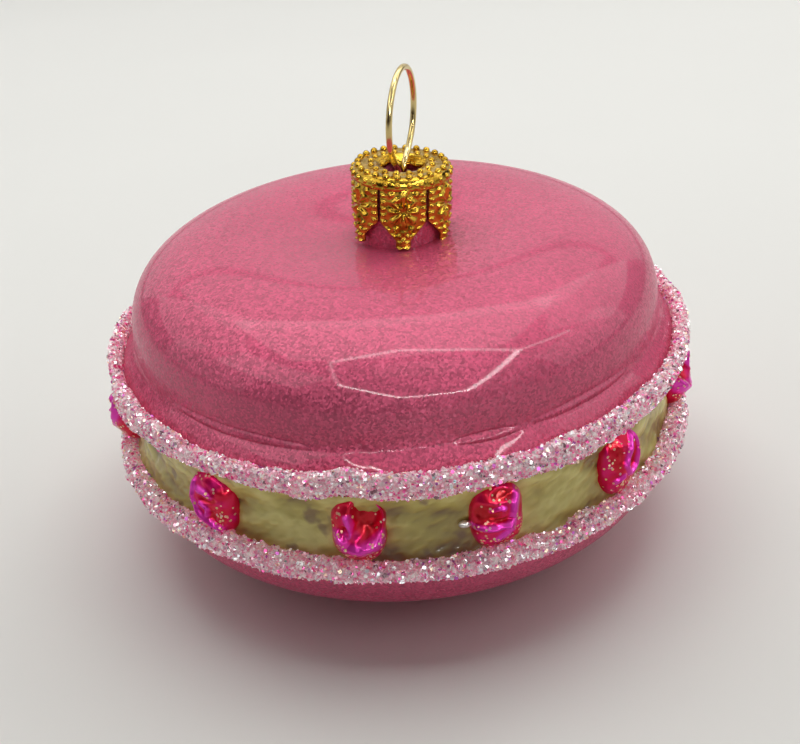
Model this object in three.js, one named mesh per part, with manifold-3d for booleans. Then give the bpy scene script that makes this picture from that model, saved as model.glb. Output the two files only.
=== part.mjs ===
// A blown-glass Christmas ornament in the shape of a filled macaron, resting on its base.
// Millimetres, +Z up. The origin is under the middle of the base and -Y is the front.
import * as THREE from "three";
import { mergeVertices } from "three/addons/utils/BufferGeometryUtils.js";
import Module from "manifold-3d";

const TURN = 2 * Math.PI;
const DEGREE = Math.PI / 180;
const GAP = 0.3;
const SCATTER_STEP = 127.1;
const SCATTER_START = 11.7;
const SCATTER_SPREAD = 43758.5453;

// Lower shell of the glass: a flattened bowl up to the lower rim
const BODY_SEGMENTS = 60;
const LOWER_RADIUS = 37;
const LOWER_RIM_Z = 13.2;
const LOWER_DEPTH = 13.4;
const LOWER_ROUNDNESS = 2.7;
const LOWER_RIM_TOP = 13.9;
const LOWER_STEPS = 7;

// Waist between the two rims, which the filling is wrapped round
const WAIST_RADIUS = 33.6;
const WAIST_BOTTOM = 14.4;
const WAIST_TOP = 23.4;
const UPPER_RIM_BOTTOM = 24;
const UPPER_RIM_RADIUS = 37.1;

// Upper shell: a rolled ledge, a crease and a dome with a dished top
const LEDGE_BOTTOM = 26.4;
const CREASE_RADIUS = 35.15;
const CREASE_Z = 28.4;
const LEDGE_STEPS = 3;
const DOME_HEIGHT = 14;
const DOME_ROUNDNESS = 3.2;
const DOME_SIDE_STEPS = 5;
const DOME_TOP_STEPS = 8;
const DISH_DEPTH = 2.7;
const DISH_SPREAD = 17;

// Filling: a hollow-faced band with slanting strokes
const FILLING_SEGMENTS = 80;
const FILLING_ROWS = 6;
const FILLING_EDGE_RADIUS = 37.1;
const FILLING_HOLLOW = 0.8;
const STROKE_HEIGHT = 0.16;
const STROKES_ROUND = 30;
const STROKE_SLANT = 0.9;
const CROSS_STROKES = 14;
const CROSS_SLANT = 2.1;
const CROSS_SHARE = 0.3;

// Glitter feet: a crumbly bead on each rim
const FOOT_SEGMENTS = 88;
const UPPER_FOOT = { inner: 37.45, outer: 39.1, bottom: 23.85, top: 27.35, lean: 0.22, knobAngle: -61, seed: 1 };
const LOWER_FOOT = { inner: 37.35, outer: 39.65, bottom: 12.75, top: 14.9, lean: -0.1, knobAngle: 150, seed: 2 };
const FOOT_WAVE = 0.28;
const FOOT_WAVES = [
  { round: 5, size: 0.48, shift: 1.7 },
  { round: 11, size: 0.28, shift: 4.1 },
  { round: 23, size: 0.24, shift: 2.3 },
];
const FOOT_SWELL = 0.4;
const FOOT_CRUMB = 0.2;
const KNOB_HEIGHT = 0.55;
const KNOB_WIDTH = 3;

// Raspberries set round the band, by their angle from the front towards +X
const BERRY_ANGLES = [-82, -39, -9.5, 15.4, 43.7, 80, 116, 152, 190, 230];
const BERRY_HALF = { width: 3.45, depth: 3.3, height: 3.95 };
const BERRY_VARIATION = 0.12;
const BERRY_MIDDLE_RADIUS = 36.3;
const BERRY_DETAIL = 3;
const DRUPELETS = 20;
const DRUPELET_DEPTH = 0.13;
const DRUPELET_SHARPNESS = 9;

// Neck and cap, which stand a little off the middle and lean towards +X
const CAP_PLACE = new THREE.Vector3(1.63, -1, 40.45);
const CAP_LEAN = 3.8 * DEGREE;
const CAP_SEGMENTS = 36;
const CAP_RADIUS = 6.4;
const CAP_WALL = 0.42;
const CAP_PLATE_TOP = 9.35;
const CAP_HOLE_RADIUS = 2.5;
const CAP_UNDER = 8.83;
const CAP_TOP_OUTLINE = [
  [6.4, 8.65],
  [6.15, 9.15],
  [5.7, 9.35],
  [4.4, 9.25],
  [3.9, 9.65],
  [3.4, 9.25],
  [CAP_HOLE_RADIUS, 8.85],
  [CAP_HOLE_RADIUS, 8.45],
  [CAP_HOLE_RADIUS + 1, CAP_UNDER],
];
const NECK_RADIUS = 5.6;
const NECK_BORE_RADIUS = 3.3;
const NECK_TOP = 8.6;
const NECK_ROOT = -3;
const NECK_BORE_BOTTOM = 1.6;
const CUTTER_DEPTH = 9;
const CUTTER_TOP_Z = 30;

// Petals of the cap
const PETALS = 6;
const SLIT_HALF = 0.22;
const SLIT_TOP = 7.5;
const TAPER_TOP = 3.2;
const TIP_TOP = 1;
const TIP_HALF = 0.95;
const PETAL_CUT_DEPTH = 4;
const STAR_Z = 5;
const STAR_LOBES = 6;
const STAR_LOBE = { length: 1, width: 0.36, depth: 0.3, reach: 1.15 };

// Beads on the cap's rim
const RIM_BEADS = 22;
const RIM_BEAD_RADIUS = 0.42;
const RIM_BEAD_CIRCLE = 5.65;

// Wire hanger loop, standing in a plane turned from the front
const LOOP_TURN = 71 * DEGREE;
const WIRE_RADIUS = 0.4;
const WIRE_SIDES = 8;
const WIRE_STEPS = 40;
const LOOP_HALF_WIDTH = 5.34;
const LOOP_HALF_HEIGHT = 6.1;
const LOOP_MIDDLE_Z = 15.1;
const LOOP_ARC_END = -56 * DEGREE;
const LOOP_ARC_POINTS = 10;
const LOOP_LEG = [
  [0.9, 3],
  [1.35, 8.6],
];

const MATERIALS = {
  glass: material("#c4587c", 0.22, 0.45),
  glitter: material("#ecc6dc", 0.75, 0.1),
  filling: material("#a8a25c", 0.4, 0.05),
  raspberry: material("#c81468", 0.2, 0.5),
  gold: material("#cf9a2e", 0.25, 1),
  wire: material("#c9b155", 0.2, 1),
};

const wasm = await Module();
wasm.setup();

function material(color, roughness, metalness) {
  return new THREE.MeshStandardMaterial({ color, roughness, metalness });
}

// Places and small helpers

function aroundZ(angle, radius, z) {
  return new THREE.Vector3(radius * Math.sin(angle), -radius * Math.cos(angle), z);
}

// A repeatable number from 0 to 1 for each whole-number key
function scatter(key) {
  const value = Math.sin(key * SCATTER_STEP + SCATTER_START) * SCATTER_SPREAD;
  return value - Math.floor(value);
}

function wave(angle, seed) {
  return FOOT_WAVES.reduce((sum, part) => sum + part.size * Math.sin(part.round * angle + seed * part.shift), 0);
}

function span(from, to, steps) {
  const values = [];
  for (let i = 0; i <= steps; i += 1) {
    values.push(from + ((to - from) * i) / steps);
  }
  return values;
}

// Solids

function solid(geometry) {
  const bare = geometry.clone();
  bare.deleteAttribute("normal");
  bare.deleteAttribute("uv");
  const merged = mergeVertices(bare, 1e-4);
  return new wasm.Manifold(
    new wasm.Mesh({
      numProp: 3,
      vertProperties: new Float32Array(merged.attributes.position.array),
      triVerts: new Uint32Array(merged.index.array),
    }),
  );
}

function geometryOf(manifold) {
  const mesh = manifold.getMesh();
  const geometry = new THREE.BufferGeometry();
  geometry.setAttribute("position", new THREE.BufferAttribute(mesh.vertProperties, 3));
  geometry.setIndex(new THREE.BufferAttribute(mesh.triVerts, 1));
  return geometry;
}

// Turns an outline of [radius, z] points, from the axis back to the axis, about Z
function turned(outline, segments) {
  const points = outline.map(([radius, z]) => new THREE.Vector2(radius, z));
  return new THREE.LatheGeometry(points, segments).rotateX(Math.PI / 2);
}

// Turns a closed section that changes with the angle about Z; its points run anticlockwise
function ring(segments, section) {
  const positions = [];
  const indices = [];
  let count = 0;
  for (let i = 0; i < segments; i += 1) {
    const angle = (i / segments) * TURN;
    const outline = section(angle, i);
    count = outline.length;
    for (const [radius, z] of outline) {
      positions.push(...aroundZ(angle, radius, z).toArray());
    }
  }
  for (let i = 0; i < segments; i += 1) {
    const next = (i + 1) % segments;
    for (let j = 0; j < count; j += 1) {
      const above = (j + 1) % count;
      const corners = [i * count + j, next * count + j, next * count + above, i * count + above];
      indices.push(corners[0], corners[1], corners[2], corners[0], corners[2], corners[3]);
    }
  }
  const geometry = new THREE.BufferGeometry();
  geometry.setAttribute("position", new THREE.Float32BufferAttribute(positions, 3));
  geometry.setIndex(indices);
  return geometry;
}

// Glass body

function superellipse(share, roundness) {
  return (1 - share ** roundness) ** (1 / roundness);
}

function lowerRadius(z) {
  return LOWER_RADIUS * superellipse((LOWER_RIM_Z - z) / LOWER_DEPTH, LOWER_ROUNDNESS);
}

function domeRadius(z) {
  return CREASE_RADIUS * superellipse((z - CREASE_Z) / DOME_HEIGHT, DOME_ROUNDNESS);
}

function domeZ(radius) {
  const crown = CREASE_Z + DOME_HEIGHT * superellipse(radius / CREASE_RADIUS, DOME_ROUNDNESS);
  return crown - DISH_DEPTH * Math.exp(-((radius / DISH_SPREAD) ** 2));
}

function ledgeOutline() {
  const width = UPPER_RIM_RADIUS - CREASE_RADIUS;
  const height = CREASE_Z - LEDGE_BOTTOM;
  return span(0, Math.PI / 2, LEDGE_STEPS).map((turn) => [
    CREASE_RADIUS + width * Math.cos(turn),
    LEDGE_BOTTOM + height * Math.sin(turn),
  ]);
}

function domeOutline() {
  const shoulder = Math.SQRT1_2 ** (2 / DOME_ROUNDNESS);
  const shoulderRadius = CREASE_RADIUS * shoulder;
  const shoulderZ = domeZ(shoulderRadius);
  const side = span(CREASE_Z, CREASE_Z + DOME_HEIGHT * shoulder, DOME_SIDE_STEPS);
  const sideDrop = CREASE_Z + DOME_HEIGHT * shoulder - shoulderZ;
  const rise = side.map((z) => {
    const share = (z - CREASE_Z) / (DOME_HEIGHT * shoulder);
    return [domeRadius(z), z - sideDrop * share ** 4];
  });
  const top = span(shoulderRadius, 0, DOME_TOP_STEPS).map((radius) => [radius, domeZ(radius)]);
  return [...rise.slice(1), ...top.slice(1)];
}

function bodyOutline() {
  const bowl = span(0, LOWER_RIM_Z, LOWER_STEPS).map((z) => [lowerRadius(z), z]);
  const waist = [
    [LOWER_RADIUS, LOWER_RIM_TOP],
    [WAIST_RADIUS, WAIST_BOTTOM],
    [WAIST_RADIUS, WAIST_TOP],
    [UPPER_RIM_RADIUS, UPPER_RIM_BOTTOM],
  ];
  return [[0, 0], ...bowl, ...waist, ...ledgeOutline(), ...domeOutline()];
}

function neck() {
  const outline = [
    [0, NECK_ROOT],
    [NECK_RADIUS, NECK_ROOT],
    [NECK_RADIUS, NECK_TOP],
    [NECK_BORE_RADIUS, NECK_TOP],
    [NECK_BORE_RADIUS, NECK_BORE_BOTTOM],
    [0, NECK_BORE_BOTTOM],
  ];
  return turned(outline, CAP_SEGMENTS);
}

function neckBore() {
  const outline = [
    [0, NECK_BORE_BOTTOM],
    [NECK_BORE_RADIUS, NECK_BORE_BOTTOM],
    [NECK_BORE_RADIUS, NECK_TOP + 1],
    [0, NECK_TOP + 1],
  ];
  return turned(outline, CAP_SEGMENTS);
}

function glassBody(capFrame) {
  const shell = solid(turned(bodyOutline(), BODY_SEGMENTS));
  const stem = solid(neck().applyMatrix4(capFrame));
  const bore = solid(neckBore().applyMatrix4(capFrame));
  return geometryOf(shell.add(stem).subtract(bore));
}

// Filling band

function fillingRadius(z) {
  const middle = (WAIST_BOTTOM + WAIST_TOP) / 2;
  const share = (z - middle) / ((WAIST_TOP - WAIST_BOTTOM) / 2);
  return FILLING_EDGE_RADIUS - FILLING_HOLLOW * (1 - share ** 2);
}

function stroke(angle, z) {
  const main = Math.sin(STROKES_ROUND * angle + STROKE_SLANT * z);
  const cross = Math.sin(CROSS_SLANT * z - CROSS_STROKES * angle);
  return STROKE_HEIGHT * ((1 - CROSS_SHARE) * main + CROSS_SHARE * cross);
}

function fillingSection(angle) {
  const bottom = WAIST_BOTTOM + GAP;
  const top = WAIST_TOP - GAP;
  const inner = WAIST_RADIUS + GAP;
  const face = span(bottom, top, FILLING_ROWS - 1).map((z) => [fillingRadius(z) + stroke(angle, z), z]);
  return [[inner, bottom], ...face, [inner, top]];
}

function fillingClearance() {
  const reach = GAP + STROKE_HEIGHT;
  const face = span(WAIST_BOTTOM - 1, WAIST_TOP + 1, 2 * FILLING_ROWS).map((z) => [fillingRadius(z) + reach, z]);
  return turned([[0, WAIST_BOTTOM - 1], ...face, [0, WAIST_TOP + 1]], FILLING_SEGMENTS);
}

// Glitter feet

function knob(angle, foot) {
  const away = Math.abs(((angle / DEGREE - foot.knobAngle + 540) % 360) - 180);
  const arc = away * DEGREE * foot.outer;
  return KNOB_HEIGHT * Math.exp(-((arc / KNOB_WIDTH) ** 2));
}

function footSection(foot) {
  const middle = (foot.inner + foot.outer) / 2;
  const centre = (foot.bottom + foot.top) / 2;
  const corner = (foot.outer - foot.inner) / 4;
  const outward = foot.top > WAIST_TOP ? 1 : -1;
  return (angle, index) => {
    const lift = FOOT_WAVE * wave(angle, foot.seed) * outward;
    const crumb = (row) => FOOT_CRUMB * (scatter(index * 9 + row + foot.seed * 1000) - 0.5);
    const swell = knob(angle, foot) + FOOT_SWELL * FOOT_WAVE * wave(angle, foot.seed + 3);
    const free = outward > 0 ? foot.top + lift : foot.bottom + lift;
    const held = outward > 0 ? foot.bottom : foot.top;
    const top = outward > 0 ? free : held;
    const bottom = outward > 0 ? held : free;
    const outer = (z, row) => foot.outer - FOOT_WAVE + swell + crumb(row) + foot.lean * (z - centre);
    return [
      [foot.inner, bottom + corner],
      [middle, bottom + crumb(1) * 0.5],
      [outer(bottom + corner, 2) - corner, bottom + corner],
      [outer(centre, 3), centre + crumb(4)],
      [outer(top - corner, 5) - corner, top - corner],
      [middle, top + crumb(6) * 0.5],
      [foot.inner, top - corner],
    ];
  };
}

// Raspberries

function drupeletCentres() {
  const golden = Math.PI * (3 - Math.sqrt(5));
  const centres = [];
  for (let i = 0; i < DRUPELETS; i += 1) {
    const height = 1 - (2 * (i + 0.5)) / DRUPELETS;
    const radius = Math.sqrt(1 - height * height);
    centres.push(new THREE.Vector3(radius * Math.cos(golden * i), radius * Math.sin(golden * i), height));
  }
  return centres;
}

function berryLump(key) {
  const geometry = mergeVertices(stripped(new THREE.IcosahedronGeometry(1, BERRY_DETAIL)), 1e-4);
  const centres = drupeletCentres();
  const spin = new THREE.Matrix4().makeRotationY(scatter(key) * TURN);
  const places = geometry.getAttribute("position");
  const place = new THREE.Vector3();
  for (let i = 0; i < places.count; i += 1) {
    place.fromBufferAttribute(places, i).normalize();
    const turnedPlace = place.clone().applyMatrix4(spin);
    const nearest = Math.max(...centres.map((centre) => centre.dot(turnedPlace)));
    const size = 1 - DRUPELET_DEPTH * Math.min(1, (1 - nearest) * DRUPELET_SHARPNESS);
    place.multiplyScalar(size);
    places.setXYZ(i, place.x, place.y, place.z);
  }
  const stretch = 1 + BERRY_VARIATION * (scatter(key + DRUPELETS) - 0.5);
  return geometry.scale(BERRY_HALF.width * stretch, BERRY_HALF.depth, BERRY_HALF.height);
}

function stripped(geometry) {
  geometry.deleteAttribute("normal");
  geometry.deleteAttribute("uv");
  return geometry;
}

function berry(index, clearance) {
  const angle = BERRY_ANGLES[index] * DEGREE;
  const middle = aroundZ(angle, BERRY_MIDDLE_RADIUS, (WAIST_BOTTOM + WAIST_TOP) / 2);
  const lump = berryLump(index).rotateZ(angle).translate(middle.x, middle.y, middle.z);
  return geometryOf(solid(lump).subtract(clearance));
}

// Cap

function capShell() {
  const inner = CAP_RADIUS - CAP_WALL;
  const inside = [[inner, CAP_UNDER], [inner, 0]];
  return turned([[CAP_RADIUS, 0], ...CAP_TOP_OUTLINE, ...inside, [CAP_RADIUS, 0]], CAP_SEGMENTS);
}

// The gap between two petals: a slit that opens into a V and leaves a blunt tip
function petalGap() {
  const half = (Math.PI * CAP_RADIUS) / PETALS;
  const open = half - TIP_HALF;
  const shape = new THREE.Shape();
  shape.moveTo(-open, -1);
  shape.lineTo(open, -1);
  shape.lineTo(open, TIP_TOP);
  shape.lineTo(SLIT_HALF, TAPER_TOP);
  shape.lineTo(SLIT_HALF, SLIT_TOP);
  shape.lineTo(-SLIT_HALF, SLIT_TOP);
  shape.lineTo(-SLIT_HALF, TAPER_TOP);
  shape.lineTo(-open, TIP_TOP);
  shape.closePath();
  const cutter = new THREE.ExtrudeGeometry(shape, { depth: PETAL_CUT_DEPTH, bevelEnabled: false });
  return cutter.rotateX(Math.PI / 2).translate(0, -CAP_RADIUS + PETAL_CUT_DEPTH / 2, 0);
}

function starLobe(lobe) {
  const turn = (lobe / STAR_LOBES) * TURN;
  const geometry = new THREE.OctahedronGeometry(1, 0);
  geometry.scale(STAR_LOBE.width, STAR_LOBE.depth, STAR_LOBE.length);
  geometry.translate(0, 0, STAR_LOBE.reach);
  return geometry.rotateY(turn).translate(0, -CAP_RADIUS, STAR_Z);
}

function rimBead(index) {
  const angle = ((index + 0.5) / RIM_BEADS) * TURN;
  const place = aroundZ(angle, RIM_BEAD_CIRCLE, CAP_PLATE_TOP);
  return new THREE.OctahedronGeometry(RIM_BEAD_RADIUS, 0).rotateZ(angle).translate(place.x, place.y, place.z);
}

function cap(capFrame) {
  let made = solid(capShell());
  for (let petal = 0; petal < PETALS; petal += 1) {
    const turn = (petal / PETALS) * TURN;
    const between = turn + TURN / PETALS / 2;
    made = made.subtract(solid(petalGap().rotateZ(between)));
    for (let lobe = 0; lobe < STAR_LOBES; lobe += 1) {
      made = made.add(solid(starLobe(lobe).rotateZ(turn)));
    }
  }
  for (let bead = 0; bead < RIM_BEADS; bead += 1) {
    made = made.add(solid(rimBead(bead)));
  }
  const clear = NECK_RADIUS + GAP / 2;
  const stem = solid(turned([[0, -CUTTER_DEPTH], [clear, -CUTTER_DEPTH], [clear, TIP_TOP], [0, TIP_TOP]], CAP_SEGMENTS));
  const dome = turned([[0, CUTTER_TOP_Z], ...domeOutline()], BODY_SEGMENTS).translate(0, 0, GAP);
  const under = solid(dome.applyMatrix4(capFrame.clone().invert()));
  return geometryOf(made.subtract(under.add(stem)));
}

// Hanger loop

function loopPath() {
  const arc = span(LOOP_ARC_END, Math.PI - LOOP_ARC_END, LOOP_ARC_POINTS).map((turn) => [
    LOOP_HALF_WIDTH * Math.cos(turn),
    LOOP_MIDDLE_Z + LOOP_HALF_HEIGHT * Math.sin(turn),
  ]);
  const otherLeg = LOOP_LEG.map(([across, z]) => [-across, z]).reverse();
  const points = [...LOOP_LEG, ...arc, ...otherLeg].map(([across, z]) => new THREE.Vector3(across, 0, z));
  return new THREE.CatmullRomCurve3(points);
}

function hangerLoop() {
  const section = new THREE.Shape();
  for (let i = 0; i < WIRE_SIDES; i += 1) {
    const angle = (i / WIRE_SIDES) * TURN;
    const x = WIRE_RADIUS * Math.cos(angle);
    const y = WIRE_RADIUS * Math.sin(angle);
    if (i === 0) section.moveTo(x, y);
    else section.lineTo(x, y);
  }
  section.closePath();
  const wire = new THREE.ExtrudeGeometry(section, { steps: WIRE_STEPS, extrudePath: loopPath(), bevelEnabled: false });
  return wire.rotateZ(LOOP_TURN);
}

// Assembly

function named(name, geometry, look) {
  const mesh = new THREE.Mesh(geometry, look);
  mesh.name = name;
  return mesh;
}

const ornament = new THREE.Group();
const capGroup = new THREE.Group();
capGroup.position.copy(CAP_PLACE);
capGroup.rotation.y = CAP_LEAN;
capGroup.updateMatrix();

ornament.add(named("glass_body", glassBody(capGroup.matrix), MATERIALS.glass));
ornament.add(named("filling_band", ring(FILLING_SEGMENTS, fillingSection), MATERIALS.filling));
ornament.add(named("upper_glitter_foot", ring(FOOT_SEGMENTS, footSection(UPPER_FOOT)), MATERIALS.glitter));
ornament.add(named("lower_glitter_foot", ring(FOOT_SEGMENTS, footSection(LOWER_FOOT)), MATERIALS.glitter));
const clearance = solid(fillingClearance());
for (let i = 0; i < BERRY_ANGLES.length; i += 1) {
  const name = `raspberry_${String(i + 1).padStart(2, "0")}`;
  ornament.add(named(name, berry(i, clearance), MATERIALS.raspberry));
}
capGroup.add(named("cap", cap(capGroup.matrix), MATERIALS.gold));
capGroup.add(named("hanger_loop", hangerLoop(), MATERIALS.wire));
ornament.add(capGroup);

export default ornament;
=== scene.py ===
# A blown-glass Christmas ornament in the shape of a filled macaron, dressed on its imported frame
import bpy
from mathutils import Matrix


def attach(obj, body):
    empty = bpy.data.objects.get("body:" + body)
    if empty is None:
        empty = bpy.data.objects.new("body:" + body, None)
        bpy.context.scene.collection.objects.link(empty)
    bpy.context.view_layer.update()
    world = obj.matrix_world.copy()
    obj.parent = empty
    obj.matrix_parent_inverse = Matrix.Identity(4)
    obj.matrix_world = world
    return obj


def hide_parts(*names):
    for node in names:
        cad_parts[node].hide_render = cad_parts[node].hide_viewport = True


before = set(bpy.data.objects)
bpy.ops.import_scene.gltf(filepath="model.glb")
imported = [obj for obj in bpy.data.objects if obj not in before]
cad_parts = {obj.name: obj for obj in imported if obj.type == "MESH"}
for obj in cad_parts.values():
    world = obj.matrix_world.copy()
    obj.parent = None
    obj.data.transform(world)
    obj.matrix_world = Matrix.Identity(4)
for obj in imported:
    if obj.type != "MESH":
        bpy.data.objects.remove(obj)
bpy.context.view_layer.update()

import math

import bpy
import numpy as np
from mathutils import Matrix, Vector

MM = 0.001
TURN = 2 * math.pi

# Camera: where the photograph was taken from, in mm and degrees
CAMERA_BACK = 146.59
CAMERA_UP = 102.12
CAMERA_PITCH = 29.74
CAMERA_ROLL = -4.39
CAMERA_LENS = 53.97
SENSOR_WIDTH = 36

# Glass body, in mm, the same sizes as the frame's solid
LOWER_RADIUS = 37
LOWER_RIM_Z = 13.2
LOWER_DEPTH = 13.4
LOWER_ROUNDNESS = 2.7
LOWER_RIM_TOP = 13.9
WAIST_RADIUS = 33.6
WAIST_BOTTOM = 14.4
WAIST_TOP = 23.4
UPPER_RIM_BOTTOM = 24
UPPER_RIM_RADIUS = 37.1
LEDGE_BOTTOM = 26.4
CREASE_RADIUS = 35.15
CREASE_Z = 28.4
DOME_HEIGHT = 14
DOME_ROUNDNESS = 3.2
DISH_DEPTH = 2.7
DISH_SPREAD = 17
BODY_AROUND = 720
CREASE_WAVE = 0.16
CREASE_FLARE = 0.5
CREASE_FLARE_HEIGHT = 0.55
CREASE_REACH = 1.3
CREASE_NOISE = [(1, 9, 3), (0.5, 4, 4), (0.3, 1.8, 5)]
UNEVENNESS = 0.0016
UNEVENNESS_SIZE = 16
BOWL_ROWS = 40
LEDGE_ROWS = 14
DOME_SIDE_ROWS = 72
DOME_TOP_ROWS = 70
AXIS_GAP = 0.02

# Folds pressed into the crease: start and end in degrees from the front, their heights and the depth
CREASE_FOLDS = [
    (-50, -17, 29.1, 28.7, 0.2), (-42, -22, 29.7, 29.2, 0.07), (9, 21.5, 28.75, 28.75, 0.22),
    (24, 50, 29.0, 29.3, 0.16), (-84, -62, 29.3, 28.9, 0.1), (70, 120, 29.2, 29.0, 0.14),
    (150, 215, 29.0, 28.8, 0.16),
]

# Filling band
FILLING_EDGE_RADIUS = 37.2
FILLING_HOLLOW = 0.8
FILLING_AROUND = 1400
FILLING_ROWS = 44
FILLING_RELIEF = 0.4

# Its brush strokes: slants along and up, squeeze, offset, strength, size in mm and seed
STROKES = [
    (0.8, -0.2, 1.7, 0, 0.62, 4.6, 11),
    (-0.5, 0.25, 2.2, 50, 0.42, 2.6, 12),
    (0.6, -0.4, 2.6, 90, 0.26, 1.2, 13),
]

# Glitter feet
FOOT_AROUND = 720
FOOT_SECTION = 28
FOOT_RADIUS = 39
FOOT_GRAIN_ROOM = 0.1
FOOT_SQUARENESS = 0.8
FOOT_HIDDEN_EDGE = 0.45
FOOT_CRUMBS = [(0.12, 1.5, 30), (0.16, 0.8, 31), (0.1, 0.4, 32)]

# Waves of a foot's edges round the ring: strength in mm, how much of it is missing in front, size and seed
FOOT_TOP_WAVES = [(0.4, 0.22, 6, 0), (0.2, 0, 2.4, 5)]
FOOT_BOTTOM_WAVES = [(0.35, 0.2, 5, 10), (0.2, 0, 2.2, 15)]
FOOT_OUTER_WAVES = [(0.14, 0, 4, 20)]
FOOT_OUTER_DROP = 0.1

# Bumps of a foot's edges: where (degrees from the front), how high (mm) and how wide (degrees)
UPPER_FOOT = {
    "name": "upper_glitter_foot", "inner": 36.9, "outer": 39.1, "bottom": 23.9, "top": 27.4,
    "lean": 0.22, "seed": 1, "out": [(-61, 0.5, 5), (-84, -0.5, 14)],
    "up": [
        (-84, 0.8, 14), (-61, 0.8, 5), (-50, 0.5, 4), (-40, -0.35, 4), (-24, -0.6, 4), (-9.5, 1.0, 3.5),
        (6, -0.2, 6), (50, 0.8, 7), (80, 0.4, 12),
    ],
    "down": [
        (-52, 0.4, 5), (-33, -0.7, 7), (-17, 0.35, 2), (-11, -0.8, 3), (5, 0.4, 4), (32, 0.6, 5),
        (-79, -0.6, 9), (79, -0.5, 8),
    ],
}
LOWER_FOOT = {
    "name": "lower_glitter_foot", "inner": 36.7, "outer": 39.6, "bottom": 12.75, "top": 14.9,
    "lean": -0.1, "seed": 2, "out": [],
    "up": [
        (-36, 0.95, 16), (-16, 0.3, 4), (0, -0.35, 9), (15, 0.35, 3), (27, -0.4, 3), (33, 0.4, 4),
        (66, 1.0, 8),
    ],
    "down": [],
}
GRAINS = 7600
GRAIN_SIZES = (0.2, 0.42)
GRAIN_STRETCH = (0.6, 1.15)
GRAIN_TIP = 1.2
GRAIN_SINK = 0.03
FLAKES = 9500
FLAKE_SIZES = (0.15, 0.27)
FLAKE_TIP = 1.0
FLAKE_LIFT = (0.02, 0.16)

# Raspberries: angle from the front towards +X in degrees, kind, 1 or -1 for its mirror image, and more rise
BERRIES = [
    (-82, 0, -1, 1.3), (-39, 0, 1, 0), (-9.5, 1, 1, 0), (15.4, 2, 1, 0), (43.7, 3, 1, 0),
    (80, 1, -1, 1.1), (116, 2, -1, 0), (152, 3, -1, 0), (190, 0, 1, 0), (230, 1, 1, 0),
]
BERRY_HALF = (3.35, 4.45)
BERRY_MIDDLE_Z = 18.95
BERRY_RISE = 2.3
BERRY_SINK = 0.9
BERRY_SQUARENESS = 2.5
BERRY_AROUND = 200
BERRY_ROWS = 72
BERRY_LUMPS = [(0.16, 1.3, 51), (0.07, 0.6, 52)]
BERRY_EDGE_TONE = 0.5
CHIP_GRID = (28, 16)
SPANGLES = 90
SPANGLE_SIZES = (0.11, 0.2)
SPANGLE_TIP = 0.12
SPANGLE_LIFT = 0.04

# Folds of each kind of berry: a line in shares of its half sizes, then width and height in mm;
# hollows: middle, half sizes and depth; chips of bare silver: middle and half sizes
BERRY_KINDS = [
    {
        "folds": [
            ([(-0.62, 0.66), (-0.66, 0.2), (-0.45, -0.15), (-0.1, -0.42), (0.42, -0.62)], 0.5, 0.55),
            ([(-0.3, 0.52), (0.0, 0.5), (0.2, 0.36)], 0.4, 0.35),
            ([(-0.2, 0.12), (0.1, 0.02), (0.02, -0.2)], 0.3, 0.4),
        ],
        "hollows": [
            (0.24, -0.22, 0.14, 0.14, 0.45), (0.1, 0.3, 0.3, 0.1, 0.35), (0.42, -0.42, 0.12, 0.08, 0.4),
        ],
        "chips": [],
    },
    {
        "folds": [
            ([(-0.62, 0.0), (-0.4, -0.36), (0.1, -0.42), (0.5, -0.3), (0.85, -0.1)], 0.75, 0.6),
            ([(-0.3, 0.55), (-0.2, 0.3), (-0.3, 0.05)], 0.35, 0.4),
            ([(0.62, 0.95), (0.72, 0.7)], 0.3, 0.3),
        ],
        "hollows": [(0.34, 0.5, 0.42, 0.52, 1.7), (-0.4, 0.12, 0.16, 0.16, 0.6)],
        "chips": [(0.52, 1.16, 0.38, 0.11)],
    },
    {
        "folds": [
            ([(-0.98, -0.1), (-0.4, -0.12), (0.25, -0.1)], 0.36, 0.5),
            ([(0.85, 0.9), (0.55, 0.5), (0.42, 0.1), (0.3, -0.3), (-0.1, -0.5)], 0.5, 0.45),
            ([(-0.3, 0.36), (0.0, 0.42), (0.1, 0.4)], 0.3, 0.35),
        ],
        "hollows": [
            (-0.45, 0.3, 0.4, 0.22, 0.3), (0.1, 0.06, 0.3, 0.06, 0.35), (0.1, 0.74, 0.3, 0.12, 0.35),
        ],
        "chips": [(-1.14, -0.1, 0.24, 0.1)],
    },
    {
        "folds": [
            (
                [(0.6, 1.0), (0.1, 0.6), (-0.2, 0.1), (0.05, -0.25), (0.45, -0.1), (0.65, 0.4), (0.6, 1.0)],
                0.34, 0.55,
            ),
            ([(-0.6, -0.3), (-0.3, -0.25)], 0.4, 0.4),
        ],
        "hollows": [(-0.5, 0.45, 0.22, 0.4, 0.3), (0.25, 0.25, 0.14, 0.28, 0.3)],
        "chips": [],
    },
]

# Cap and hanger loop, in the cap's own frame
CAP_PLACE = (1.63, -1, 40.45)
CAP_LEAN = 3.8
CAP_RADIUS = 6.4
CAP_PLATE_TOP = 9.35
PETALS = 6
SLIT_TOP = 7.5
TAPER_TOP = 3.2
TIP_TOP = 1
TIP_HALF = 0.95
SLIT_HALF = 0.2
METAL = 0.3
PETAL_COLUMNS = 61
PETAL_ROWS = 96
PETAL_INSET = 0.25
PETAL_FLARE = 0.16
STAR_Z = 4.9
STAR_RISE = 0.4
EDGE_BEAD_RISE = 0.34
EDGE_BEAD_STEP = 0.86
BULGE = 0.22
DOT_RISE = 0.36
CROWN_AROUND = 480
HOLE_EDGE = 3.4
BEAD_GRID = (16, 10)

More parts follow.
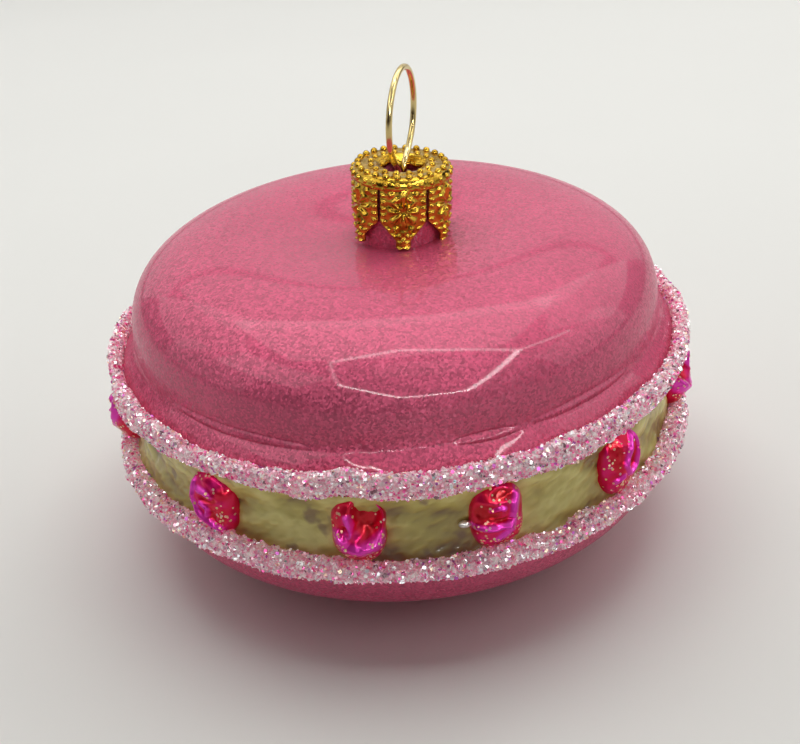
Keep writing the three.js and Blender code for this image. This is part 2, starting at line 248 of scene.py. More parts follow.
# Dots stamped on a petal: place along the arc, height and size
PETAL_DOTS = [
    (-1.6, 7.1, 0.34), (0, 7.2, 0.34), (1.6, 7.1, 0.34), (0, 2.2, 0.38), (-1, 2.6, 0.34), (1, 2.6, 0.34),
    (0, 1.1, 0.34), (-0.8, 6.5, 0.28), (0.8, 6.5, 0.28), (-0.5, 1.7, 0.26), (0.5, 1.7, 0.26),
]

# Rows of beads round the cap's top: how many, their circle's radius, height and bead radius
BEAD_ROWS = [(26, 6.22, 8.3, 0.42), (24, 5.6, 9.1, 0.47), (16, 3.95, 9.05, 0.42)]

# Neck of the glass inside the cap, and the wire loop
NECK_RADIUS = 5.5
NECK_BORE_RADIUS = 3.3
NECK_BOTTOM = -1.5
NECK_BORE_BOTTOM = 1.6
NECK_TOP = 8.6
NECK_AROUND = 96
NECK_CHAMFER = 0.3
LOOP_TURN = 71
WIRE_RADIUS = 0.4
WIRE_SIDES = 20
WIRE_STEPS = 22
LOOP_HALF_WIDTH = 5.34
LOOP_HALF_HEIGHT = 6.1
LOOP_MIDDLE_Z = 15.1
LOOP_ARC_END = -56
LOOP_LEG = [(0.9, 3), (1.35, 8.6)]

# Colours: ramp stops as (place, (red, green, blue))
GLASS_TINTS = [(0.35, (0.6, 0.07, 0.168)), (0.65, (0.665, 0.082, 0.192))]
GLASS_GRAIN = [(0.0, (0.76, 0.74, 0.75)), (1.0, (1.22, 1.24, 1.23))]
# Filling colours along the brush strokes' relief: the paint's own olive to yellow tones, and darker towards
# the hollows as painted shade
FILLING_TINTS_AND_HOLLOW_SHADE = [
    (0.08, (0.29, 0.2, 0.075)), (0.3, (0.47, 0.38, 0.1)), (0.55, (0.6, 0.52, 0.135)),
    (0.85, (0.78, 0.71, 0.24)),
]
SMUDGE_PLACES = [(0.62, (0, 0, 0)), (0.72, (0.7, 0.7, 0.7))]
SMUDGE_COLOUR = (0.27, 0.16, 0.1)
CRUST_COLOURS = [
    (0.0, (1.0, 0.84, 0.87)), (0.4, (1.0, 0.6, 0.7)), (0.7, (0.92, 0.35, 0.5)), (0.88, (0.7, 0.5, 0.6)),
]
GRAIN_COLOURS = [
    (0.0, (1.0, 0.97, 0.94)), (0.34, (1.0, 0.82, 0.86)), (0.56, (1.0, 0.6, 0.7)), (0.72, (0.97, 0.34, 0.52)),
    (0.84, (0.8, 0.1, 0.34)), (0.91, (0.6, 0.5, 0.62)), (0.965, (0.4, 0.5, 0.48)), (0.99, (0.03, 0.02, 0.03)),
]
FLAKE_COLOURS = [
    (0.0, (1.0, 0.98, 0.98)), (0.34, (1.0, 0.62, 0.75)), (0.54, (0.9, 0.16, 0.45)), (0.7, (0.8, 0.8, 0.85)),
    (0.84, (0.55, 0.14, 0.5)), (0.92, (1.0, 0.8, 0.6)), (0.985, (0.3, 0.5, 0.5)),
]
# Painted glow: a faint emission that brightens the glitter crust and grains in place of light
PAINTED_GLOW_COLOUR = (1.0, 0.4, 0.52, 1)
PAINTED_GLOW_STRENGTH = 0.1
PATCHINESS = 0.9
BERRY_TONES = [
    (0.02, (0.26, 0.001, 0.01)), (0.25, (0.58, 0.001, 0.012)), (0.5, (0.8, 0.002, 0.05)),
    (0.7, (0.86, 0.004, 0.26)), (0.95, (0.92, 0.055, 0.58)),
]
SILVER_TINTS = [(0.35, (0.5, 0.48, 0.45)), (0.6, (0.95, 0.93, 0.9))]
SPANGLE_COLOURS = [
    (0.0, (1.0, 0.62, 0.3)), (0.35, (1.0, 0.5, 0.36)), (0.65, (1.0, 0.76, 0.5)), (0.85, (1.0, 0.5, 0.62)),
]
GOLD_TINTS = [(0.3, (0.3, 0.16, 0.013)), (0.7, (0.69, 0.44, 0.055))]
WIRE_TINTS = [(0.35, (0.62, 0.47, 0.2)), (0.65, (0.75, 0.6, 0.3))]

# Shader values and the sockets they are set on
SOCKETS = {
    "metallic": "Metallic", "roughness": "Roughness", "specular": "Specular IOR Level",
    "coat": "Coat Weight", "coat_roughness": "Coat Roughness",
}

# Setting: a pale floor in a light tent with lamps round its front opening; places in m, power in W
FLOOR_TONES = [(0.3, (0.825, 0.82, 0.798)), (0.7, (0.845, 0.84, 0.818))]
FLOOR_SIZE = 6
WORLD_COLOUR = (1.0, 0.7, 0.72)
WORLD_STRENGTH = 0.035
LIGHT_COLOUR = (0.99, 1.0, 0.975)
LIGHT_AIM = (0, 0, 0.03)

# Soft panels: place, what they face, size and power
PANELS = [
    ("ceiling", (0, 0.12, 0.54), (0, 0, 0), (0.6, 0.4), 1.75),
    ("front_top", (0, -0.18, 0.5), (0, 0, 0), (0.35, 0.25), 0.02),
    ("back_high", (0, 0.42, 0.48), (0, 0, 0), (0.8, 0.35), 0.8),
    ("back_wall", (0, 0.65, 0.2), (0, 0, 0.1), (1.2, 0.35), 1.0),
    ("left_back", (-0.45, 0.25, 0.4), (0, 0, 0), (0.4, 0.4), 0.5),
    ("right_back", (0.45, 0.25, 0.4), (0, 0, 0), (0.4, 0.4), 0.72),
    ("left_wall", (-0.6, -0.05, 0.25), (0, 0, 0.05), (0.5, 0.4), 0.4),
    ("right_wall", (0.6, -0.05, 0.25), (0, 0, 0.05), (0.5, 0.4), 0.7),
]

# Lamps that show in the gloss alone: start, end, width and power
BARS = [
    ("left_soft", (-0.34, 0.0, 0.32), (-0.2, -0.25, 0.28), 0.16, 0.28),
    ("top_soft", (-0.06, -0.2, 0.42), (0.16, -0.2, 0.4), 0.16, 0.08),
    ("top_bar_left", (-0.126, -0.079, 0.417), (0.003, -0.005, 0.438), 0.016, 0.09),
    ("top_bar_right", (0.003, -0.005, 0.438), (0.248, -0.118, 0.348), 0.016, 0.15),
    ("left_bar", (-0.126, -0.079, 0.417), (-0.15, -0.292, 0.304), 0.006, 0.045),
    ("front_bar_left", (-0.15, -0.292, 0.304), (-0.005, -0.412, 0.165), 0.0075, 0.26),
    ("front_bar_right", (-0.005, -0.412, 0.165), (0.18, -0.375, 0.14), 0.0075, 0.26),
    ("right_bar", (0.18, -0.375, 0.14), (0.248, -0.118, 0.348), 0.02, 0.5),
    ("arm_bar", (0.248, -0.118, 0.348), (0.331, -0.011, 0.288), 0.02, 0.06),
]


# Noise and shape helpers

def hashed(ix, iy, iz, seed):
    """An even spread of numbers from 0 to 1, one for each cell; the factors are any uneven ones."""
    value = np.sin(ix * 127.1 + iy * 311.7 + iz * 74.7 + seed * 19.19) * 43758.5453
    return value - np.floor(value)


def smooth(share):
    share = np.clip(share, 0, 1)
    return share * share * (3 - 2 * share)


def noise(points, size, seed):
    """Soft lumps of that size in mm, from -1 to 1."""
    place = np.asarray(points, float) / size
    cell = np.floor(place)
    part = smooth(place - cell)
    total = 0
    for dx in (0, 1):
        for dy in (0, 1):
            for dz in (0, 1):
                corner = hashed(cell[..., 0] + dx, cell[..., 1] + dy, cell[..., 2] + dz, seed)
                weight_x = part[..., 0] if dx else 1 - part[..., 0]
                weight_y = part[..., 1] if dy else 1 - part[..., 1]
                weight_z = part[..., 2] if dz else 1 - part[..., 2]
                total = total + corner * weight_x * weight_y * weight_z
    return 2 * total - 1


def layered(points, layers):
    """Noise of several sizes; layers are (strength, size in mm, seed)."""
    total = 0
    for strength, size, seed in layers:
        total = total + strength * noise(points, size, seed)
    return total


def around_z(angle, radius, z):
    """Points at an angle from the front towards +X."""
    return np.stack(np.broadcast_arrays(radius * np.sin(angle), -radius * np.cos(angle), z), -1)


def angles(count):
    """Angles all round, from the back."""
    return np.arange(count) / count * TURN - math.pi


def grid_faces(around, along, closed_along, closed_around=True):
    i = np.arange(around if closed_around else around - 1)[:, None]
    j = np.arange(along if closed_along else along - 1)[None, :]
    following = (i + 1) % around
    above = (j + 1) % along
    corners = [i * along + j, following * along + j, following * along + above, i * along + above]
    return np.stack(np.broadcast_arrays(*corners), -1).reshape(-1, 4)


def mesh_object(name, parts, shade_smooth=True):
    """One object from (points in mm, faces, material index) parts."""
    points, faces, looks = [], [], []
    start = 0
    for part_points, part_faces, look in parts:
        flat = np.asarray(part_points, float).reshape(-1, 3)
        points.append(flat)
        faces.extend((np.asarray(part_faces) + start).tolist())
        looks.extend([look] * len(part_faces))
        start += len(flat)
    mesh = bpy.data.meshes.new(name)
    mesh.from_pydata((np.concatenate(points) * MM).tolist(), [], faces)
    mesh.polygons.foreach_set("material_index", looks)
    mesh.polygons.foreach_set("use_smooth", [shade_smooth] * len(faces))
    mesh.update()
    piece = bpy.data.objects.new(name, mesh)
    bpy.context.scene.collection.objects.link(piece)
    return piece


def point_values(piece, name, values):
    """Values for the piece's points, which its material reads by that name."""
    attribute = piece.data.attributes.new(name, "FLOAT", "POINT")
    attribute.data.foreach_set("value", np.ravel(values))


def place_piece(piece, nodes, slot, *materials):
    for material in materials:
        piece.data.materials.append(material)
    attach(piece, "root")
    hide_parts(*nodes)
    return piece


def superellipse(share, roundness):
    return np.clip(1 - np.clip(share, 0, 1) ** roundness, 0, 1) ** (1 / roundness)


# Node helpers

def new_material(name):
    material = bpy.data.materials.new(name)
    material.use_nodes = True
    tree = material.node_tree
    return material, tree, tree.nodes["Principled BSDF"]


def add_node(tree, kind, **settings):
    node = tree.nodes.new(kind)
    for key, value in settings.items():
        if key in node.inputs:
            node.inputs[key].default_value = value
        else:
            setattr(node, key, value)
    return node


def object_place(tree):
    return tree.nodes.new("ShaderNodeTexCoord").outputs["Object"]


def noise_value(tree, place, scale, detail=2):
    node = add_node(tree, "ShaderNodeTexNoise", Scale=scale, Detail=detail)
    tree.links.new(place, node.inputs["Vector"])
    return node.outputs["Fac"]


def ramp(tree, value, stops, interpolation="LINEAR"):
    """Colours by value; stops are (place, (red, green, blue))."""
    node = tree.nodes.new("ShaderNodeValToRGB")
    node.color_ramp.interpolation = interpolation
    elements = node.color_ramp.elements
    while len(elements) < len(stops):
        elements.new(1)
    for element, (place, colour) in zip(elements, stops):
        element.position = place
        element.color = (*colour, 1)
    tree.links.new(value, node.inputs["Fac"])
    return node.outputs["Color"]


def mix_colour(tree, factor, first, second, blend="MIX"):
    node = add_node(tree, "ShaderNodeMix", data_type="RGBA", blend_type=blend)
    for socket, value in ((node.inputs["Factor"], factor), (node.inputs[6], first), (node.inputs[7], second)):
        if isinstance(value, (int, float, tuple)):
            socket.default_value = value if isinstance(value, (int, float)) else (*value, 1)
        else:
            tree.links.new(value, socket)
    return node.outputs[2]


def flake_normal(tree, place, scale, tilt):
    """The surface normal, tipped at random in each small cell."""
    cells = add_node(tree, "ShaderNodeTexVoronoi", Scale=scale)
    tree.links.new(place, cells.inputs["Vector"])
    centred = add_node(tree, "ShaderNodeVectorMath", operation="SUBTRACT")
    centred.inputs[1].default_value = (0.5, 0.5, 0.5)
    tree.links.new(cells.outputs["Color"], centred.inputs[0])
    scaled = add_node(tree, "ShaderNodeVectorMath", operation="SCALE", Scale=tilt)
    tree.links.new(centred.outputs[0], scaled.inputs[0])
    added = add_node(tree, "ShaderNodeVectorMath", operation="ADD")
    tree.links.new(scaled.outputs[0], added.inputs[0])
    tree.links.new(tree.nodes.new("ShaderNodeNewGeometry").outputs["Normal"], added.inputs[1])
    unit = add_node(tree, "ShaderNodeVectorMath", operation="NORMALIZE")
    tree.links.new(added.outputs[0], unit.inputs[0])
    return unit.outputs[0], cells.outputs["Color"]


def bump(tree, height, distance, strength=1.0):
    node = add_node(tree, "ShaderNodeBump", Strength=strength, Distance=distance)
    tree.links.new(height, node.inputs["Height"])
    return node.outputs["Normal"]


# Materials

def set_shader(shader, colour=None, normal=None, **values):
    """Set the shader's colour, its normal and its constant values."""
    tree = shader.id_data
    if colour is not None:
        tree.links.new(colour, shader.inputs["Base Color"])
    if normal is not None:
        tree.links.new(normal, shader.inputs["Normal"])
    for name, value in values.items():
        shader.inputs[SOCKETS[name]].default_value = value


def cell_value(tree, cells):
    """One random number from a cell's random colour."""
    parts = add_node(tree, "ShaderNodeSeparateColor")
    tree.links.new(cells, parts.inputs["Color"])
    return parts.outputs["Red"]


def island_random(tree):
    return tree.nodes.new("ShaderNodeNewGeometry").outputs["Random Per Island"]


def pink_glass():
    material, tree, shader = new_material("pink_glass")
    place = object_place(tree)
    normal, cells = flake_normal(tree, place, scale=4000, tilt=0.44)
    tint = ramp(tree, noise_value(tree, place, scale=60), GLASS_TINTS)
    grain = ramp(tree, cell_value(tree, cells), GLASS_GRAIN)
    colour = mix_colour(tree, 1.0, tint, grain, "MULTIPLY")
    set_shader(shader, colour, normal, metallic=0.33, roughness=0.52, coat=0.42, coat_roughness=0.07)
    return material


def painted_filling():
    material, tree, shader = new_material("painted_filling")
    place = object_place(tree)
    relief = add_node(tree, "ShaderNodeAttribute", attribute_name="relief")
    # Brush-stroke tones by relief, with painted shade darkening the hollows
    base = ramp(tree, relief.outputs["Fac"], FILLING_TINTS_AND_HOLLOW_SHADE)
    smudge = ramp(tree, noise_value(tree, place, scale=330), SMUDGE_PLACES)
    colour = mix_colour(tree, smudge, base, SMUDGE_COLOUR)
    normal = bump(tree, noise_value(tree, place, scale=900, detail=3), distance=0.0002, strength=0.5)
    set_shader(shader, colour, normal, roughness=0.4, specular=0.3, coat=0.5, coat_roughness=0.12)
    return material


def painted_glow(shader):
    """A faint painted glow: emission that brightens the glitter, standing in for light that the lamps don't
    give.
    """
    shader.inputs["Emission Color"].default_value = PAINTED_GLOW_COLOUR
    shader.inputs["Emission Strength"].default_value = PAINTED_GLOW_STRENGTH


def glitter_crust():
    material, tree, shader = new_material("glitter_crust")
    cells = add_node(tree, "ShaderNodeTexVoronoi", Scale=2600)
    tree.links.new(object_place(tree), cells.inputs["Vector"])
    colour = ramp(tree, cell_value(tree, cells.outputs["Color"]), CRUST_COLOURS, "CONSTANT")
    set_shader(shader, colour, bump(tree, cells.outputs["Distance"], distance=0.0003), roughness=0.45)
    # Painted glow: faint emission that makes the crust look brighter than its lighting
    painted_glow(shader)
    return material


def patchy_random(tree):
    """A random value per grain, drifting from place to place so that the colours gather in patches."""
    drift = add_node(tree, "ShaderNodeMath", operation="MULTIPLY_ADD")
    tree.links.new(noise_value(tree, object_place(tree), scale=650, detail=1), drift.inputs[0])
    drift.inputs[1].default_value = PATCHINESS
    drift.inputs[2].default_value = -PATCHINESS / 2
    total = add_node(tree, "ShaderNodeMath", operation="ADD")
    tree.links.new(island_random(tree), total.inputs[0])
    tree.links.new(drift.outputs[0], total.inputs[1])
    return total.outputs[0]


def glitter_grain():
    material, tree, shader = new_material("glitter_grain")
    colour = ramp(tree, patchy_random(tree), GRAIN_COLOURS, "CONSTANT")
    set_shader(shader, colour, roughness=0.3, coat=0.5)
    # Painted glow: faint emission that makes the grains look brighter than its lighting
    painted_glow(shader)
    return material


def glitter_flake():
    material, tree, shader = new_material("glitter_flake")
    colour = ramp(tree, island_random(tree), FLAKE_COLOURS, "CONSTANT")
    set_shader(shader, colour, metallic=0.85, roughness=0.36)
    return material


def raspberry_lacquer():
    material, tree, shader = new_material("raspberry_lacquer")
    tone = add_node(tree, "ShaderNodeAttribute", attribute_name="tone")
    colour = ramp(tree, tone.outputs["Fac"], BERRY_TONES)
    normal = bump(tree, noise_value(tree, object_place(tree), scale=700), distance=0.0002, strength=0.4)
    set_shader(shader, colour, normal, metallic=0.4, roughness=0.3, specular=0.2)
    set_shader(shader, coat=0.18, coat_roughness=0.05)
    return material


def bare_silver():
    material, tree, shader = new_material("bare_silver")
    tint = ramp(tree, noise_value(tree, object_place(tree), scale=900, detail=3), SILVER_TINTS)
    set_shader(shader, tint, metallic=0.6, roughness=0.3)
    return material


def berry_spangle():
    material, tree, shader = new_material("berry_spangle")
    colour = ramp(tree, island_random(tree), SPANGLE_COLOURS, "CONSTANT")
    set_shader(shader, colour, metallic=0.3, roughness=0.3)
    return material


def gold_metal():
    material, tree, shader = new_material("gold_cap")
    place = object_place(tree)
    tint = ramp(tree, noise_value(tree, place, scale=500, detail=3), GOLD_TINTS)
    normal = bump(tree, noise_value(tree, place, scale=1200), distance=0.0002, strength=0.5)
    set_shader(shader, tint, normal, metallic=1.0, roughness=0.17)
    return material


def gold_wire():
    material, tree, shader = new_material("gold_wire")
    tint = ramp(tree, noise_value(tree, object_place(tree), scale=300), WIRE_TINTS)
    set_shader(shader, tint, metallic=1.0, roughness=0.16)
    return material


# Glass body

def dome_z(radius):
    crown = CREASE_Z + DOME_HEIGHT * superellipse(radius / CREASE_RADIUS, DOME_ROUNDNESS)
    return crown - DISH_DEPTH * np.exp(-((radius / DISH_SPREAD) ** 2))


def dome_outline():
    shoulder = math.sqrt(0.5) ** (2 / DOME_ROUNDNESS)
    shoulder_radius = CREASE_RADIUS * shoulder
    shoulder_z = CREASE_Z + DOME_HEIGHT * shoulder
    share = np.linspace(0, 1, DOME_SIDE_ROWS) ** 1.5
    side_z = CREASE_Z + (shoulder_z - CREASE_Z) * share
    side_radius = CREASE_RADIUS * superellipse((side_z - CREASE_Z) / DOME_HEIGHT, DOME_ROUNDNESS)
    side_radius = side_radius + CREASE_FLARE * np.exp((CREASE_Z - side_z) / CREASE_FLARE_HEIGHT)
    side_z = side_z - (shoulder_z - dome_z(shoulder_radius)) * share**4
    top_radius = np.linspace(shoulder_radius, AXIS_GAP, DOME_TOP_ROWS)
    side = np.stack([side_radius, side_z], -1)
    top = np.stack([top_radius, dome_z(top_radius)], -1)
    return np.concatenate([side[1:], top[1:]])


def ledge_outline():
    share = np.linspace(1, 0, LEDGE_ROWS)
    start = CREASE_RADIUS + CREASE_FLARE
    drop = (CREASE_Z - LEDGE_BOTTOM) * (0.7 * share + 0.3 * share**2)
    return np.stack([start + (UPPER_RIM_RADIUS - start) * share, CREASE_Z - drop], -1)


def body_outline():
    bowl_z = LOWER_RIM_Z * np.linspace(0, 1, BOWL_ROWS) ** 1.5
    bowl_radius = LOWER_RADIUS * superellipse((LOWER_RIM_Z - bowl_z) / LOWER_DEPTH, LOWER_ROUNDNESS)
    spot_radius = np.linspace(AXIS_GAP, bowl_radius[0], 8)[:-1]
    spot = np.stack([spot_radius, 0 * spot_radius], -1)
    waist = [
        [LOWER_RADIUS, LOWER_RIM_TOP], [WAIST_RADIUS, WAIST_BOTTOM],
        [WAIST_RADIUS, WAIST_TOP], [UPPER_RIM_RADIUS, UPPER_RIM_BOTTOM],
    ]
    bowl = np.stack([bowl_radius, bowl_z], -1)
    return np.concatenate([spot, bowl, waist, ledge_outline(), dome_outline()])


def pressed_fold(degrees, z, fold):
    """A long thin lens of raised glass between two shallow grooves."""
    start, end, start_z, end_z, depth = fold
    share = np.clip((degrees - start) / (end - start), 0, 1)
    strength = np.sin(math.pi * share) ** 0.6
    away = (z - start_z - (end_z - start_z) * share) / (0.12 + 0.2 * strength)
    lens = np.exp(-(away**2)) - 0.8 * np.exp(-(((np.abs(away) - 1.7) / 0.55) ** 2))
    return depth * strength * lens


def crease_shape(angle, radius, z):
    """The hand-worked look of the crease: a wavering line and a few pressed folds."""
    degrees = np.mod(np.degrees(angle) + 90, 360) - 90
    near = np.exp(-(((z - CREASE_Z) / CREASE_REACH) ** 2))
    total = radius + CREASE_WAVE * layered(around_z(angle, 40, z * 0.3), CREASE_NOISE) * near
    for fold in CREASE_FOLDS:
        total = total + pressed_fold(degrees, z, fold)
    return total


def neck_points():
    outline = np.array([
        (NECK_RADIUS, NECK_BOTTOM), (NECK_RADIUS, NECK_TOP - NECK_CHAMFER),
        (NECK_RADIUS - NECK_CHAMFER, NECK_TOP), (NECK_BORE_RADIUS, NECK_TOP),
        (NECK_BORE_RADIUS, NECK_BORE_BOTTOM), (AXIS_GAP, NECK_BORE_BOTTOM),
    ])
    return in_cap_frame(around_z(angles(NECK_AROUND)[:, None], outline[None, :, 0], outline[None, :, 1]))


def glass_body(material):
    outline = body_outline()
    angle = angles(BODY_AROUND)[:, None]
    radius = crease_shape(angle, outline[None, :, 0], outline[None, :, 1])
    shell = around_z(angle, radius, outline[None, :, 1])
    shell = shell + noise(shell, UNEVENNESS_SIZE, 8)[..., None] * shell * [UNEVENNESS, UNEVENNESS, 0]
    neck = neck_points()
    parts = [
        (shell, grid_faces(BODY_AROUND, len(outline), False), 0),
        (neck, grid_faces(NECK_AROUND, neck.shape[1], False), 0),
    ]
    return place_piece(mesh_object("glass_body_shell", parts), ["glass_body"], "pink_glass", material)


# Filling

def seamless(make, angle):
    """make(angle) faded into itself at the back, where the angles meet."""
    near = np.clip((np.abs(angle) - math.pi * 0.9) / (math.pi * 0.1), 0, 1) * 0.5
    other = make(angle - np.sign(angle) * TURN)
    return make(angle) * (1 - near) + other * near


def stroke_relief(angle, z):
    def pattern(turned):
        along = turned * FILLING_EDGE_RADIUS
        total = 0
        for slant, slope, squeeze, offset, strength, size, seed in STROKES:
            u, v = along + slant * z, (z + slope * along) * squeeze
            place = np.stack(np.broadcast_arrays(u, v, 0 * along + offset), -1)
            total = total + strength * noise(place, size, seed)
        return total
    return seamless(pattern, angle)


def filling(material):
    angle = angles(FILLING_AROUND)[:, None]
    z = np.linspace(WAIST_BOTTOM - 0.6, WAIST_TOP + 0.5, FILLING_ROWS)[None, :]
    middle = (WAIST_BOTTOM + WAIST_TOP) / 2
    share = (z - middle) / ((WAIST_TOP - WAIST_BOTTOM) / 2)
    relief = stroke_relief(angle, z)
    radius = FILLING_EDGE_RADIUS - FILLING_HOLLOW * (1 - share**2) + FILLING_RELIEF * relief
    faces = grid_faces(FILLING_AROUND, FILLING_ROWS, False)
    piece = mesh_object("filling_band_painted", [(around_z(angle, radius, z), faces, 0)])
    point_values(piece, "relief", np.clip(0.5 + 0.55 * relief, 0, 1))
    return place_piece(piece, ["filling_band"], "painted_filling", material)


# Glitter feet

def bumps(angle, rows):
    total = 0 * angle
    for place, size, width in rows:
        total = total + size * np.exp(-(((np.degrees(angle) - place) / width) ** 2))
    return total


def squared(wave):
    """A sine or cosine, filled out so that the bead's section turns squarer."""
    return np.sign(wave) * np.abs(wave) ** FOOT_SQUARENESS


def foot_waves(foot, angle, waves):
    """How far an edge of the bead strays in mm round the ring, less in front."""
    ring = around_z(angle, FOOT_RADIUS, 0 * angle + 7 * foot["seed"])
    front = smooth((np.cos(angle) + 0.1) / 0.3)
    total = 0
    for strength, missing, size, seed in waves:
        total = total + (strength - missing * front) * noise(ring, size, foot["seed"] + seed)
    return total


def foot_section(foot, angle):
    """Points of the bead round its section, for angles in a column."""
    turn = np.linspace(0, TURN, FOOT_SECTION, endpoint=False)[None, :]
    middle = (foot["inner"] + foot["outer"]) / 2
    centre = (foot["bottom"] + foot["top"]) / 2
    half_width = (foot["outer"] - foot["inner"]) / 2 - FOOT_GRAIN_ROOM
    half_height = (foot["top"] - foot["bottom"]) / 2 - FOOT_GRAIN_ROOM
    across, rise = squared(np.cos(turn)), squared(np.sin(turn))
    top = foot_waves(foot, angle, FOOT_TOP_WAVES) + bumps(angle, foot["up"])
    bottom = foot_waves(foot, angle, FOOT_BOTTOM_WAVES) + bumps(angle, foot["down"])
    out = foot_waves(foot, angle, FOOT_OUTER_WAVES) - FOOT_OUTER_DROP + bumps(angle, foot["out"])
    z = centre + rise * (half_height + np.where(rise > 0, top, bottom))
    radius = middle + across * (half_width + np.where(across > 0, out, 0)) + foot["lean"] * (z - centre)
    points = around_z(angle, radius, z)
    crumb = layered(points, FOOT_CRUMBS)
    return points + around_z(angle, across, rise) * crumb[..., None]


def random_frame(rng, normals, tip):
    """Directions at right angles, the first of them along the normals but tipped at random."""
    facing = normals + tip * rng.normal(size=normals.shape)
    facing /= np.linalg.norm(facing, axis=1)[:, None]
    other = rng.normal(size=normals.shape)
    first = np.cross(facing, other)
    first /= np.linalg.norm(first, axis=1)[:, None]
    return facing, first, np.cross(facing, first)


def scatter_on(rng, points, count, keep):
    """Random places and outward normals on a closed grid of points."""
    around, along = points.shape[:2]
    i = rng.integers(0, around, count * 3)
    j = rng.integers(0, along, count * 3)
    a = points[i, j]
    b = points[(i + 1) % around, j]
    c = points[i, (j + 1) % along]
    normal = np.cross(b - a, c - a)
    area = np.linalg.norm(normal, axis=1)
    good = (rng.random(count * 3) < area / np.percentile(area, 95)) & keep(a)
    chosen = np.flatnonzero(good)[:count]
    share = rng.random((2, len(chosen), 1))
    place = a[chosen] + share[0] * (b - a)[chosen] + share[1] * (c - a)[chosen]
    return place, normal[chosen] / area[chosen][:, None]


def hexagons(rng, places, normals, sizes, tip):
    _, first, second = random_frame(rng, normals, tip)
    corners = []
    for k in range(6):
        turn = k / 6 * TURN
        corners.append(places + sizes[:, None] * (math.cos(turn) * first + math.sin(turn) * second))
    points = np.stack(corners, 1).reshape(-1, 3)
    return points, np.arange(len(points)).reshape(-1, 6)


def chunks(rng, places, normals, sizes):
    """Small uneven eight-sided grains."""
    facing, first, second = random_frame(rng, normals, GRAIN_TIP)
    stretch = rng.uniform(*GRAIN_STRETCH, (len(places), 3))
    corners = []
    for axis, vector in enumerate((first, second, facing)):
        reach = sizes[:, None] * stretch[:, axis:axis + 1] * vector
        corners += [places + reach, places - reach]
    points = np.stack(corners, 1).reshape(-1, 3)
    base = [(0, 2, 4), (2, 1, 4), (1, 3, 4), (3, 0, 4), (2, 0, 5), (1, 2, 5), (3, 1, 5), (0, 3, 5)]
    faces = (np.arange(len(places)) * 6)[:, None, None] + np.array(base)[None]
    return points, faces.reshape(-1, 3)


def glitter_foot(foot, materials):
    def shows(place):
        return np.hypot(place[:, 0], place[:, 1]) > foot["inner"] + FOOT_HIDDEN_EDGE

    def add(kind, points, faces, shade_smooth):
        piece = mesh_object(foot["name"] + kind, [(points, faces, 0)], shade_smooth)
        place_piece(piece, [foot["name"]], "glitter", materials[kind])

    rng = np.random.default_rng(foot["seed"])
    bead = foot_section(foot, angles(FOOT_AROUND)[:, None])
    add("_crust", bead, grid_faces(FOOT_AROUND, FOOT_SECTION, True), True)
    places, normals = scatter_on(rng, bead, GRAINS, shows)
    sizes = rng.uniform(*GRAIN_SIZES, len(places))
    add("_grains", *chunks(rng, places - GRAIN_SINK * normals, normals, sizes), False)
    places, normals = scatter_on(rng, bead, FLAKES, shows)
    places = places + rng.uniform(*FLAKE_LIFT, (len(places), 1)) * normals
    sizes = rng.uniform(*FLAKE_SIZES, len(places))
    add("_flakes", *hexagons(rng, places, normals, sizes, FLAKE_TIP), False)


# Raspberries

def sphere_grid(around, along):
    turn = angles(around)[:, None]
    tilt = np.linspace(-math.pi / 2, math.pi / 2, along)[None, :]
    return around_z(turn, np.cos(tilt), np.sin(tilt))


def distance_to_line(u, v, line):
    """Distance in mm from places on the berry's face to a line of corner points."""
    nearest = np.full(np.broadcast(u, v).shape, 1e9)
    for (u0, v0), (u1, v1) in zip(line[:-1], line[1:]):
        along = np.array([u1 - u0, v1 - v0])
        share = np.clip(((u - u0) * along[0] + (v - v0) * along[1]) / (along @ along), 0, 1)
        nearest = np.minimum(nearest, np.hypot(u - u0 - share * along[0], v - v0 - share * along[1]))
    return nearest


def berry_face(kind, mirror, seed, u, v):
    """Height of a berry's face above its smooth swelling, and its tone, from 0 dark to 1 magenta."""
    half = np.array(BERRY_HALF)
    along, up = mirror * u * half[0], v * half[1]
    place = np.stack([along, up, 0 * up + 13 * seed], -1)
    height = layered(place, BERRY_LUMPS)
    tone = 0.54 + 0.14 * noise(place, 1.1, 53)
    for line, width, size in kind["folds"]:
        near = distance_to_line(along, up, [tuple(np.array(corner) * half) for corner in line])
        height = height + size * np.exp(-((near / width) ** 2))
        tone = tone + 0.42 * smooth(1.7 - near / width)
    for middle_u, middle_v, half_u, half_v, depth in kind["hollows"]:
        away = np.hypot((along / half[0] - middle_u) / half_u, (up / half[1] - middle_v) / half_v)
        height = height - depth * smooth(1.6 - away)
        tone = tone - 0.28 * smooth(2.2 - 1.6 * away)
    return height, np.clip(tone, 0, 1)


def berry_place(angle, u, v, height):
    """A place on the band, at u across and v up in shares of the berry's half sizes."""
    turn = math.radians(angle) + u * BERRY_HALF[0] / FILLING_EDGE_RADIUS
    return around_z(turn, FILLING_EDGE_RADIUS + height, BERRY_MIDDLE_Z + v * BERRY_HALF[1])


